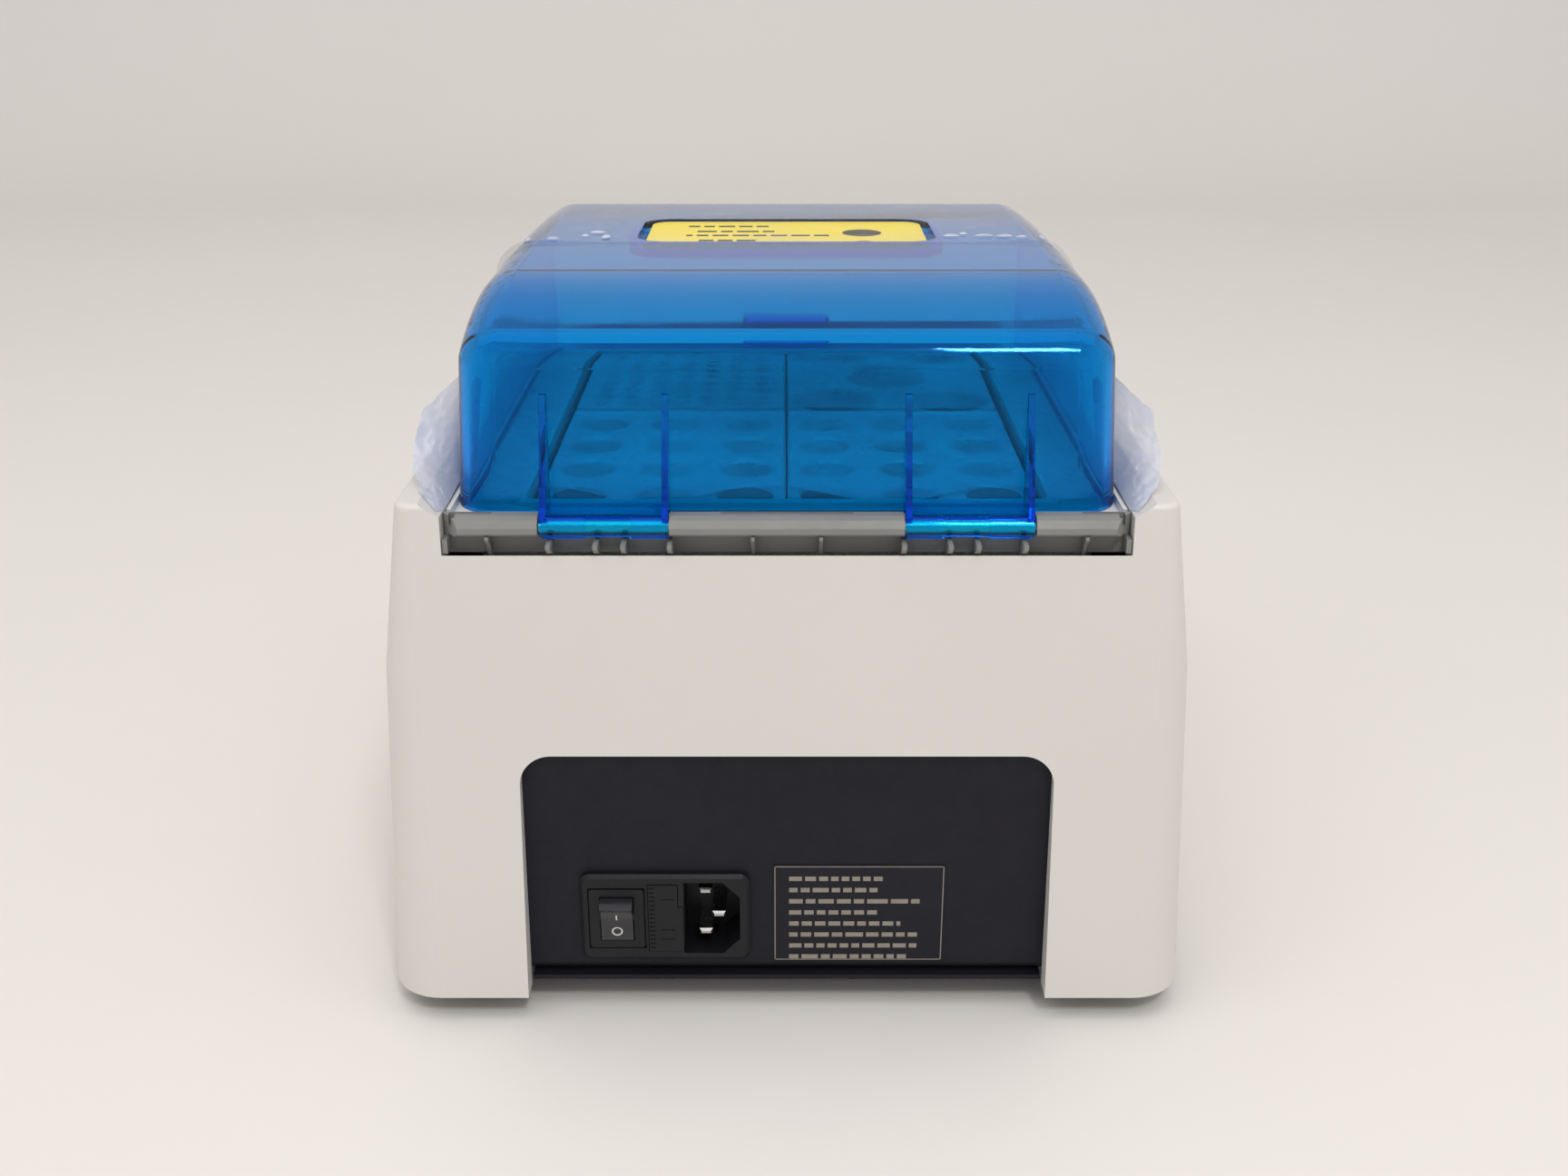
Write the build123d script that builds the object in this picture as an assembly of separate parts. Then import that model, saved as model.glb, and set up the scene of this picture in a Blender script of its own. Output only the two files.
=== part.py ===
from build123d import *
import math
import os

# Dry block heater, four block positions, hinged clear lid.
# Millimetres. X runs across the width, the operator stands at -Y, +Z is up.
# The origin is on the bench, under the middle of the housing.

# ---- housing ----
BASE_WIDTH = 237.0
BASE_DEPTH = 310.0
SHELL_BOTTOM = 8.0
KINK_HEIGHT = 110.0
RIM_HEIGHT = 159.5
KINK_WIDTH = 226.6
RIM_WIDTH = 212.0
KINK_DEPTH = 297.6
RIM_DEPTH = 291.6
BASE_CORNER = 16.0
KINK_CORNER = 11.0
RIM_CORNER = 4.5
SHELL_WALL = 3.0
RIM_INNER = 93.5            # half width of the trough between the two side rims
RIM_FLAT_INNER = 99.3       # where the flat top of a side rim starts
TROUGH_FRONT = -91.0
NOTCH_BOTTOM = 145.4
SLOPE_TOP_Y = -97.0         # top edge of the sloping control panel
SLOPE_FOOT_Y = -149.8
SLOPE_FOOT_Z = 93.0
FIT_GAP = 0.3

# ---- rear opening and sheet metal ----
ARCH_TOP = 86.2
ARCH_HALF_TOP = 75.6
ARCH_HALF_BOTTOM = 77.0
ARCH_CORNER = 9.0
PANEL_FACE_Y = 147.0
SHEET = 1.5
TRAY_BOTTOM = 10.0
TRAY_TOP = TRAY_BOTTOM + SHEET
TRAY_HALF_X = 113.0
TRAY_FRONT = -150.0
TRAY_REAR = 142.0
TRAY_LEDGE_Y = 148.3          # ledge that shows under the rear panel
TRAY_LEDGE_HALF_X = 76.0

# ---- feet and screws ----
FOOT_X = 92.0
FOOT_Y = 122.0
FOOT_RADIUS = 10.0
SHELL_SCREW_X = 105.5
SHELL_SCREW_YS = (-130.0, -10.0, 120.0)

# ---- deck and hinge ----
DECK_TOP = 153.0
DECK_THICK = 3.0
DECK_REAR = 137.2
DECK_HOLE_HALF_X = 73.5
DECK_HOLE_FRONT = -72.0
DECK_HOLE_REAR = 124.0
HINGE_Y = 143.0
HINGE_Z = 152.5
PIN_RADIUS = 1.5
BARREL_RADIUS = 3.4
KNUCKLE_BORE = 1.55
RAIL_BORE = 1.53
GAP_INNER = 31.7            # each hinge sits in a gap of the rail, from here
GAP_OUTER = 67.2            # to here
FIN_THICK = 1.8
BAR_BOTTOM = 150.6
BAR_TOP = 155.9
BAR_FRONT = 147.2
RAIL_WALL_Y = 140.6
BAR_RIBS = (10.2, 82.0)        # gussets under the bar
HINGE_RIBS = (32.9, 45.4, 52.9, 65.6)  # gussets under the hinges
FIN_INNER = 32.0
FIN_OUTER = 66.8

# ---- blocks and heater ----
BLOCK_WIDTH = 71.5
BLOCK_LENGTH = 95.5
BLOCK_HEIGHT = 50.0
BLOCK_TOP = 151.0
BLOCK_X = 36.0
BLOCK_REAR_Y = 74.0
BLOCK_FRONT_Y = -22.0
TUBE_PITCH = 24.0
TUBE_WELL_RADIUS = 8.0
TUBE_WELL_DEPTH = 44.0
WIDE_WELL_RADIUS = 14.25
WIDE_WELL_DEPTH = 43.0
SMALL_PITCH = 9.0
PLATE_THICK = 10.0
PROBE_X = 20.0
PLATE_TOP = BLOCK_TOP - BLOCK_HEIGHT - 0.1
PLATE_BOTTOM = PLATE_TOP - PLATE_THICK
MAT_THICK = 2.2
LINER_HALF_X = 73.0
LINER_FRONT = -71.2
LINER_REAR = 123.2

# ---- lid ----
LID_WALL = 2.5
LID_BOTTOM = DECK_TOP + FIT_GAP
LID_HALF_BOTTOM = 91.9
LID_HALF_TOP = 88.8
LID_REAR_BOTTOM = 134.3
LID_REAR_TOP = 131.0
LID_REAR_TOP_Z = 199.5
LID_CROWN = (86.0, 211.0)
LID_MIDDLE = (10.0, 210.3)
LID_FRONT_TOP = (-68.0, 206.5)
LID_FRONT_BOTTOM = -88.0
LID_EDGE_RADIUS = 11.5
POCKET_HALF_X = 48.0
POCKET_FRONT = -11.0
POCKET_REAR = 40.0
POCKET_FLOOR = 206.6

# ---- power inlet, centred on its flange ----
INLET_X = 35.8
INLET_Z = 32.1
FLANGE_HEIGHT = 29.0
SOCKET_HALF_Z = 12.1
DRAWER_HALF_Z = 11.4
BEZEL_HALF_X = 8.0
BEZEL_HALF_Z = 9.9
ROCKER_HALF_X = 4.8
ROCKER_REACH = 7.2            # from the pivot to the rocker's ends
FLANGE_FACE_Y = 149.5
SOCKET_X = 22.0
DRAWER_X = 36.4
TAB_TOP = 3.8                 # top of the drawer's finger tab, from the inlet's middle
SWITCH_X = 50.0
SWITCH_PIVOT_Y = 148.3
ROCKER_TILT = 14.0

# ---- control panel ----
PANEL_HALF_X = 89.0
PANEL_HALF_Y = 33.0
PANEL_PROUD = 0.6
PANEL_RECESS = 1.0
KEY_XS = (34.0, 54.0, 74.0)
KEY_YS = (12.0, -12.0)
KEY_NAMES = (("key_mode", "key_up", "key_set"), ("key_start", "key_down", "key_stop"))
KEY_WIDTH = 13.0
KEY_HEIGHT = 10.0
WINDOW_X = -34.0
WINDOW_WIDTH = 86.0
WINDOW_HEIGHT = 44.0

# The control panel's own frame: x across, y up the slope, z out of the panel.
SLOPE = Plane(
    origin=(0, (SLOPE_TOP_Y + SLOPE_FOOT_Y) / 2, (RIM_HEIGHT + SLOPE_FOOT_Z) / 2),
    x_dir=(1, 0, 0),
    z_dir=(0, -(RIM_HEIGHT - SLOPE_FOOT_Z), SLOPE_TOP_Y - SLOPE_FOOT_Y),
)


# ---- small helpers ----
def block(x0, x1, y0, y1, z0, z1):
    """A box between two corners."""
    centre = Pos((x0 + x1) / 2, (y0 + y1) / 2, (z0 + z1) / 2)
    return centre * Box(abs(x1 - x0), abs(y1 - y0), abs(z1 - z0))


def rounded_block(half_x, y0, y1, z0, z1, radius, x=0.0):
    """An upright box with rounded vertical corners."""
    outline = Plane.XY.offset(z0) * Pos(x, (y0 + y1) / 2) * RectangleRounded(2 * half_x, y1 - y0, radius)
    return extrude(outline, amount=z1 - z0)


def post(radius, x, y, z0, z1):
    """An upright cylinder."""
    return Pos(x, y, (z0 + z1) / 2) * Cylinder(radius, z1 - z0)


def rod_x(radius, x0, x1, y, z):
    """A cylinder along X."""
    return Pos((x0 + x1) / 2, y, z) * Rot(0, 90, 0) * Cylinder(radius, x1 - x0)


def rod_y(radius, x, y0, y1, z):
    """A cylinder along Y."""
    return Pos(x, (y0 + y1) / 2, z) * Rot(90, 0, 0) * Cylinder(radius, y1 - y0)


def side_prism(points, x0, x1):
    """An outline in the YZ plane, carried from x0 to x1."""
    face = make_face(Plane.YZ.offset(x0) * Polyline(*points, close=True))
    return extrude(face, amount=x1 - x0)


def front_prism(points, y0, y1):
    """An outline in the XZ plane, carried from y0 to y1."""
    face = make_face(Plane.XZ.offset(-y1) * Polyline(*points, close=True))
    return extrude(face, amount=y1 - y0)


def panel_block(x0, x1, y0, y1, z0, z1, radius=0.0):
    """A box in the control panel's frame, with its corners rounded in the panel's plane."""
    middle = Pos((x0 + x1) / 2, (y0 + y1) / 2, z0)
    outline = RectangleRounded(x1 - x0, y1 - y0, radius) if radius else Rectangle(x1 - x0, y1 - y0)
    return SLOPE.location * extrude(middle * outline, amount=z1 - z0)


def wire(points, radius, bends):
    """A round wire along straight runs joined by arcs."""
    path = FilletPolyline(*points, radius=bends)
    section = Plane(origin=path @ 0, z_dir=path % 0) * Circle(radius)
    return sweep(section, path=path)


def joined(shapes):
    """One shape from several that touch or overlap."""
    total = None
    for shape in shapes:
        total = shape if total is None else total + shape
    return total


def mirrored_pair(shape):
    """A shape and its mirror image across the middle plane."""
    return shape + mirror(shape, about=Plane.YZ)


# ---- housing ----
def housing_form(inset, bottom):
    """The outer form of the housing, or the same form drawn in by the wall thickness."""
    top = RIM_HEIGHT - inset

    def section(width, depth, corner, z):
        radius = max(corner - inset, 1.5)
        return Plane.XY.offset(z) * RectangleRounded(width - 2 * inset, depth - 2 * inset, radius)

    low = section(BASE_WIDTH, BASE_DEPTH, BASE_CORNER, bottom)
    middle = section(KINK_WIDTH, KINK_DEPTH, KINK_CORNER, KINK_HEIGHT)
    high = section(RIM_WIDTH, RIM_DEPTH, RIM_CORNER, top)
    form = loft([low, middle], ruled=True) + loft([middle, high], ruled=True)
    above_slope = SLOPE.location * (Pos(0, 0, 100 - inset) * Box(400, 400, 200))
    return form - above_slope


def soften_housing(form, slope_radius, rim_radius):
    """Rounded edges at the head and foot of the slope, and along the side rims."""
    across = form.edges().filter_by(Axis.X).filter_by(lambda e: e.length > 150)
    slope_edges = [e for e in across if e.center().Y < -90 and e.center().Z > 60]
    form = fillet(slope_edges, slope_radius)
    rims = [e for e in form.edges() if e.length > 150 and abs(e.center().X) > 90 and e.center().Z > 150]
    return fillet(rims, rim_radius)


def arch_outline(grow):
    """The rear opening of the housing, seen from behind."""
    top = ARCH_TOP + grow
    points = [
        (-ARCH_HALF_BOTTOM - grow, -20.0),
        (-ARCH_HALF_TOP - grow, top),
        (ARCH_HALF_TOP + grow, top),
        (ARCH_HALF_BOTTOM + grow, -20.0),
    ]
    face = make_face(Polyline(*points, close=True))
    corners = face.vertices().filter_by(lambda v: v.Y > 0)
    return fillet(corners, ARCH_CORNER + grow)


def shell_boss(x, y):
    """A screw boss with two webs to the side wall."""
    side = math.copysign(1.0, x)
    boss = post(4.5, x, y, TRAY_TOP + 0.1, 46.0)
    web = block(x, side * 115.4, y - 1.25, y + 1.25, 24.0, 46.0)
    return boss + web


def upper_shell():
    outer = soften_housing(housing_form(0.0, SHELL_BOTTOM), 5.0, 1.6)
    inner = housing_form(SHELL_WALL, SHELL_BOTTOM - 1.0)
    shell = outer - inner
    # return flange round the rear opening, back to the rear panel
    collar = extrude(Plane.XZ.offset(-PANEL_FACE_Y - 0.2) * arch_outline(2.4), amount=-20)
    shell += collar & outer
    shell -= extrude(Plane.XZ.offset(-130) * arch_outline(0.0), amount=-40)
    # vertical lips that close the side rims and the front of the trough
    lips = mirrored_pair(block(RIM_INNER, RIM_FLAT_INNER - 1.0, TROUGH_FRONT - 2.5, 150, 142, RIM_HEIGHT))
    lips += block(-RIM_INNER, RIM_INNER, TROUGH_FRONT - 2.5, TROUGH_FRONT, 142, RIM_HEIGHT)
    shell += lips & outer
    shell -= block(-RIM_INNER, RIM_INNER, TROUGH_FRONT, 170, NOTCH_BOTTOM, 175)
    # the notch's edge falls away inwards
    edge = [(142.5, NOTCH_BOTTOM - 1.9), (146.7, NOTCH_BOTTOM), (146.7, 148), (142.5, 148)]
    shell -= side_prism(edge, -RIM_INNER, RIM_INNER)
    bevel = front_prism(
        [(RIM_INNER - 1, 155.4), (RIM_FLAT_INNER, RIM_HEIGHT), (RIM_FLAT_INNER, 162), (RIM_INNER - 1, 162)],
        TROUGH_FRONT, 170)
    shell -= mirrored_pair(bevel)
    # seat and cut-outs of the control panel
    shell -= panel_block(-PANEL_HALF_X - 0.2, PANEL_HALF_X + 0.2, -PANEL_HALF_Y - 0.2, PANEL_HALF_Y + 0.2,
                         -PANEL_RECESS, 10, 5.2)
    shell -= window_opening(2.0, -10, 10)
    for x in KEY_XS:
        for y in KEY_YS:
            shell -= key_outline(x, y, 0.35, -10, 10)
    for y in SHELL_SCREW_YS:
        shell += mirrored_pair(shell_boss(SHELL_SCREW_X, y))
        shell -= mirrored_pair(post(1.3, SHELL_SCREW_X, y, 0, 30))
    return shell


def base_tray():
    tray = rounded_block(TRAY_HALF_X, TRAY_FRONT, TRAY_REAR, TRAY_BOTTOM, TRAY_TOP, 12)
    tray += block(-TRAY_LEDGE_HALF_X, TRAY_LEDGE_HALF_X, TRAY_REAR - 1, TRAY_LEDGE_Y, TRAY_BOTTOM, TRAY_TOP)
    tray += block(-95, 95, TRAY_FRONT, TRAY_FRONT + SHEET, TRAY_TOP, 22)
    tray += mirrored_pair(block(TRAY_HALF_X - SHEET, TRAY_HALF_X, -112, -24, TRAY_TOP, 22))
    tray += mirrored_pair(block(TRAY_HALF_X - SHEET, TRAY_HALF_X, 8, 104, TRAY_TOP, 22))
    for x in (-FOOT_X, FOOT_X):
        for y in (-FOOT_Y, FOOT_Y):
            tray -= post(2.2, x, y, 0, 30)
        for y in SHELL_SCREW_YS:
            tray -= post(1.7, math.copysign(SHELL_SCREW_X, x), y, 0, 30)
    slot = extrude(Plane.XY.offset(5) * SlotOverall(46, 3), amount=10)
    for row in range(7):
        for x in (-45, 45):
            tray -= Pos(x, -75 + 9 * row) * slot
    return tray


def rear_panel():
    bend = 4.5
    top = 88.6
    low = TRAY_TOP
    outline = Polyline((112, low), (PANEL_FACE_Y, low), (PANEL_FACE_Y, top), (PANEL_FACE_Y - SHEET, top),
                       (PANEL_FACE_Y - SHEET, low + SHEET), (112, low + SHEET), close=True)
    face = make_face(Plane.YZ.offset(-86) * outline)
    outside = [v for v in face.vertices() if v.Y > PANEL_FACE_Y - 0.1 and v.Z < low + 0.1]
    face = fillet(outside, bend)
    inside = [v for v in face.vertices() if abs(v.Y - PANEL_FACE_Y + SHEET) < 0.1 and v.Z < low + 2]
    face = fillet(inside, bend - SHEET)
    panel = extrude(face, amount=172)
    panel -= block(INLET_X - 23.3, INLET_X + 23.3, 140, 150, INLET_Z - 13.3, INLET_Z + 13.3)
    for x in (-FOOT_X, FOOT_X):
        panel -= post(6.5, x, FOOT_Y, 0, 30)
    return panel


def rubber_feet():
    feet = None
    for x in (-FOOT_X, FOOT_X):
        for y in (-FOOT_Y, FOOT_Y):
            profile = Polyline((4.4, 0), (FOOT_RADIUS - 1.4, 0), (FOOT_RADIUS - 0.6, 0.8),
                               (FOOT_RADIUS, TRAY_BOTTOM), (2.3, TRAY_BOTTOM), (2.3, 5.0), (4.4, 5.0), close=True)
            foot = Pos(x, y, 0) * revolve(make_face(Plane.XZ * profile), axis=Axis.Z)
            feet = foot if feet is None else feet + foot
    return feet


def pan_screw(radius, head_radius, head_height, length):
    """A pan head screw pointing up, the head's underside at z = 0."""
    head = Pos(0, 0, -head_height / 2) * Cylinder(head_radius, head_height)
    head = fillet(head.edges().filter_by(GeomType.CIRCLE).sort_by(Axis.Z)[0], head_height * 0.45)
    slot = Pos(0, 0, -head_height) * (Box(head_radius * 1.1, 0.9, 1.6) + Box(0.9, head_radius * 1.1, 1.6))
    return head + Pos(0, 0, length / 2) * Cylinder(radius, length) - slot


def foot_screws():
    screw = pan_screw(1.95, 3.8, 2.6, 12.0)
    return joined([Pos(x, y, 4.95) * screw for x in (-FOOT_X, FOOT_X) for y in (-FOOT_Y, FOOT_Y)])


def foot_nuts():
    nut = extrude(RegularPolygon(4.0, 6), amount=3.2) - Cylinder(1.98, 20)
    places = [(x, y) for x in (-FOOT_X, FOOT_X) for y in (-FOOT_Y, FOOT_Y)]
    return joined([Pos(x, y, TRAY_TOP) * nut for x, y in places])


def housing_screws():
    screw = pan_screw(1.25, 2.8, 2.0, 18.0)
    places = [(side * SHELL_SCREW_X, y) for side in (-1, 1) for y in SHELL_SCREW_YS]
    return joined([Pos(x, y, TRAY_BOTTOM) * screw for x, y in places])


# ---- deck and hinge rail ----
def deck_frame():
    side = RIM_INNER - FIT_GAP
    front = TROUGH_FRONT + FIT_GAP
    deck = block(-side, side, front, DECK_REAR, DECK_TOP - DECK_THICK, DECK_TOP)
    deck += mirrored_pair(block(side - 1.2, side, front, DECK_REAR, 144, 155.4))
    deck += block(-side, side, front, front + 1.2, 144, 155.4)
    deck -= rounded_block(DECK_HOLE_HALF_X, DECK_HOLE_FRONT, DECK_HOLE_REAR, 140, 160, 3)
    # a low step round the opening, inside the lid's wall
    step = rounded_block(DECK_HOLE_HALF_X + 3.5, DECK_HOLE_FRONT - 3.5, DECK_HOLE_REAR + 3.5,
                         DECK_TOP, DECK_TOP + 1.2, 5)
    step -= rounded_block(DECK_HOLE_HALF_X, DECK_HOLE_FRONT, DECK_HOLE_REAR, 140, 160, 3)
    return deck + step


def rail_bar(x0, x1):
    """One length of the hinge bar: a flat foot under a rounded top."""
    outline = Polyline((138.6, BAR_BOTTOM), (145.8, BAR_BOTTOM), (BAR_FRONT, 151.6), (BAR_FRONT, 153.2),
                       (145.9, 155.2), (144.0, BAR_TOP), (140.6, BAR_TOP), (138.6, 155.0), close=True)
    bar = extrude(make_face(Plane.YZ.offset(x0) * outline), amount=x1 - x0)
    lengthwise = [e for e in bar.edges().filter_by(Axis.X) if e.center().Z > 152]
    return fillet(lengthwise, 0.45)


def rail_rib(x, thick, reach, top):
    """A gusset that draws back from the bar to the foot of the channel's wall."""
    profile = [(RAIL_WALL_Y - 0.8, top), (reach, top), (reach, top - 1.0), (reach - 2.6, top - 3.0),
               (RAIL_WALL_Y + 1.4, 143.7), (RAIL_WALL_Y - 0.8, 143.7)]
    return side_prism(profile, x - thick / 2, x + thick / 2)


def bar_end_cuts(side):
    """What is taken off the outer end of a bar: a slanted corner, a slot along its top and a socket."""
    corner = Polyline((88.7, BAR_FRONT), (side, 141.3), (side + 2, 141.3), (side + 2, 149), (88.7, 149),
                      close=True)
    slanted = extrude(Plane.XY.offset(BAR_BOTTOM - 1) * make_face(corner), amount=8)
    slot = block(80, 90, 141.0, 142.1, 154.4, 158)
    socket = block(89.6, 91.4, 141.0, 145.0, 152.8, 158)
    return slanted + slot + socket


def hinge_rail():
    side = RIM_INNER - FIT_GAP
    rear = DECK_REAR + 0.2
    rail = block(-side, side, rear, RAIL_WALL_Y, 144.2, 149.1)
    rail += rail_bar(-GAP_INNER, GAP_INNER)
    rail += block(-GAP_INNER, GAP_INNER, rear, RAIL_WALL_Y, 149.0, 154.6)
    outer = rail_bar(GAP_OUTER, side)
    outer += block(GAP_OUTER, side, rear, RAIL_WALL_Y, 149.0, 154.6)
    outer += block(side - 1.4, side, rear, 145.8, 145.7, BAR_BOTTOM + 0.1)
    rail += mirrored_pair(outer - bar_end_cuts(side))
    for x in BAR_RIBS:
        rail += mirrored_pair(rail_rib(x, 1.0, 146.9, BAR_BOTTOM + 0.1))
    for x in HINGE_RIBS:
        rail += mirrored_pair(rail_rib(x, 1.3, 149.2, 149.1))
    rail -= block(-18, 18, 141.0, 142.1, 154.4, 158)
    rail -= mirrored_pair(rod_x(RAIL_BORE, GAP_INNER - 5.0, GAP_OUTER + 5.0, HINGE_Y, HINGE_Z))
    return rail


def hinge_pin(side):
    pin = rod_x(PIN_RADIUS, GAP_INNER - 4.6, GAP_OUTER + 4.6, HINGE_Y, HINGE_Z)
    pin = chamfer(pin.edges().filter_by(GeomType.CIRCLE), 0.3)
    return pin if side > 0 else mirror(pin, about=Plane.YZ)


# ---- heater well ----
def well_liner():
    outer = rounded_block(LINER_HALF_X + 1.0, LINER_FRONT - 1.0, LINER_REAR + 1.0, PLATE_BOTTOM, 149.6, 2.5)
    liner = outer - rounded_block(LINER_HALF_X, LINER_FRONT, LINER_REAR, 80, 160, 1.5)
    return liner - rod_y(2.6, PROBE_X, 120, 130, PLATE_BOTTOM + 5)


def hot_plate():
    plate = rounded_block(LINER_HALF_X - 0.3, LINER_FRONT + 0.3, LINER_REAR - 0.3, PLATE_BOTTOM, PLATE_TOP, 1.2)
    return plate - rod_y(2.05, PROBE_X, 80, 130, PLATE_BOTTOM + 5)


def heater_mat():
    mat = rounded_block(68, -66, 118, PLATE_BOTTOM - MAT_THICK, PLATE_BOTTOM, 4)
    return mat - post(10, 0, 60, 80, 100)


def insulation_tray():
    tray = rounded_block(86, -84, 134, 76, 147, 6)
    tray -= rounded_block(LINER_HALF_X + 1.3, LINER_FRONT - 1.3, LINER_REAR + 1.3,
                          PLATE_BOTTOM - MAT_THICK - 0.2, 160, 3)
    tray -= post(10, 0, 60, 60, 100)
    tray -= rod_y(2.6, PROBE_X, 120, 140, PLATE_BOTTOM + 5)
    return tray - block(40, 52, 60, 68, 60, 100)


def bracket_plate():
    plate = rounded_block(88, -86, 136, 76 - SHEET, 76, 6)
    plate -= post(10, 0, 60, 60, 100)
    return plate - block(40, 52, 60, 68, 60, 100)


def support_pillars():
    pillars = [post(4, x, y, TRAY_TOP, 76 - SHEET) for x in (-80, 80) for y in (-60, 96)]
    return joined(pillars)


def thermal_cutout():
    body = post(8, 0, 60, 80.5, PLATE_BOTTOM - 0.1)
    body += post(9.4, 0, 60, 84.5, 85.5)
    tabs = block(-5.4, -4.6, 57, 63, 73, 81) + block(4.6, 5.4, 57, 63, 73, 81)
    return body + tabs


def temperature_probe():
    probe = rod_y(2.0, PROBE_X, 82, 128, PLATE_BOTTOM + 5)
    return fillet(probe.edges().filter_by(GeomType.CIRCLE).sort_by(Axis.Y)[0], 1.6)


# ---- removable blocks ----
def block_blank(x, y):
    blank = block(x - BLOCK_WIDTH / 2, x + BLOCK_WIDTH / 2, y - BLOCK_LENGTH / 2, y + BLOCK_LENGTH / 2,
                  BLOCK_TOP - BLOCK_HEIGHT, BLOCK_TOP)
    return chamfer(blank.edges(), 0.8)


def round_well(radius, depth, x, y):
    """A well with a rounded bottom and a chamfered mouth."""
    bottom = BLOCK_TOP - depth + radius
    well = post(radius, x, y, bottom, BLOCK_TOP + 2)
    well += Pos(x, y, bottom) * Sphere(radius)
    mouth = Pos(x, y, BLOCK_TOP - 0.4) * Cone(radius, radius + 0.9, 0.9)
    return well + mouth


def tube_block(x):
    """Three by four wells for centrifuge tubes."""
    result = block_blank(x, BLOCK_REAR_Y)
    for column in (-1, 0, 1):
        for row in (-1.5, -0.5, 0.5, 1.5):
            result -= round_well(TUBE_WELL_RADIUS, TUBE_WELL_DEPTH, x + column * TUBE_PITCH,
                                 BLOCK_REAR_Y + row * TUBE_PITCH)
    return result


def wide_block():
    """Five wide wells, four in the corners and one in the middle."""
    x = -BLOCK_X
    result = block_blank(x, BLOCK_FRONT_Y)
    places = [(0, 0)] + [(sx * 19.4, sy * 31.0) for sx in (-1, 1) for sy in (-1, 1)]
    for dx, dy in places:
        result -= round_well(WIDE_WELL_RADIUS, WIDE_WELL_DEPTH, x + dx, BLOCK_FRONT_Y + dy)
    return result


def small_well_block():
    """A grid of small conical wells."""
    x = BLOCK_X
    result = block_blank(x, BLOCK_FRONT_Y)
    well = Cone(1.2, 2.8, 15)
    wells = []
    for column in range(-3, 4):
        for row in range(-4, 5):
            wells.append(Pos(x + column * SMALL_PITCH, BLOCK_FRONT_Y + row * SMALL_PITCH, BLOCK_TOP - 7.4) * well)
    return result - wells


# ---- lid ----
def lid_form(inset, bottom):
    """The lid's outer form, or the same form drawn in by the wall thickness."""
    rear_top = (LID_REAR_TOP - inset, LID_REAR_TOP_Z - 0.6 * inset)
    crown = (LID_CROWN[0], LID_CROWN[1] - inset)
    middle = (LID_MIDDLE[0], LID_MIDDLE[1] - inset)
    front_top = (LID_FRONT_TOP[0] + inset, LID_FRONT_TOP[1] - inset)
    top = ThreePointArc(crown, middle, front_top)
    rear = TangentArc(crown, rear_top, tangent=(top % 0) * -1)
    outline = [
        top,
        rear,
        Line(rear_top, (LID_REAR_BOTTOM - inset, bottom)),
        Line((LID_REAR_BOTTOM - inset, bottom), (LID_FRONT_BOTTOM + inset, bottom)),
        Line((LID_FRONT_BOTTOM + inset, bottom), front_top),
    ]
    side = extrude(make_face(Plane.YZ * Wire(outline)), amount=100, both=True)
    low = LID_HALF_BOTTOM - inset
    high = LID_HALF_TOP - inset
    across = front_prism([(-low, bottom), (low, bottom), (high, 220), (-high, 220)], -120, 160)
    form = side & across
    edges = [e for e in form.edges() if e.center().Z > bottom + 1 and not lid_smooth_edge(e)]
    return fillet(edges, LID_EDGE_RADIUS - inset)


def lid_smooth_edge(edge):
    """The line across the lid where its two top arcs meet smoothly."""
    middle = edge.center()
    return abs(middle.X) < 1 and abs(middle.Y - LID_CROWN[0]) < 3


def hinge_fin(x):
    """A triangular web from the lid's rear wall to the hinge barrel."""
    profile = [(131.0, LID_BOTTOM), (140.0, LID_BOTTOM - 0.2), (HINGE_Y - 1.0, HINGE_Z - BARREL_RADIUS + 0.1),
               (HINGE_Y + 2.6, HINGE_Z - 2.1), (HINGE_Y + 3.3, HINGE_Z + 0.6), (141.5, 163.0),
               (133.2, 186.5), (130.0, 186.5)]
    fin = side_prism(profile, x, x + FIN_THICK)
    tip = [e for e in fin.edges().filter_by(Axis.X) if e.center().Y > 141 and e.center().Z < 152]
    return fillet(tip, 0.5)


def hinge_knuckles():
    """Barrel in three lengths between two fins, and its web to the lid's foot."""
    barrel = rod_x(BARREL_RADIUS, FIN_INNER + 0.5, 42.4, HINGE_Y, HINGE_Z)
    barrel += rod_x(BARREL_RADIUS, 54.6, FIN_OUTER - 0.5, HINGE_Y, HINGE_Z)
    barrel += rod_x(BARREL_RADIUS - 0.5, 42.0, 55.0, HINGE_Y, HINGE_Z)
    web = side_prism([(131.2, LID_BOTTOM), (139.0, LID_BOTTOM), (HINGE_Y, HINGE_Z), (HINGE_Y, HINGE_Z + 3.0),
                      (138.6, LID_BOTTOM + 2.4), (131.2, LID_BOTTOM + 2.4)], FIN_INNER + 0.5, FIN_OUTER - 0.5)
    return barrel + web + hinge_fin(FIN_INNER) + hinge_fin(FIN_OUTER - FIN_THICK)


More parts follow.
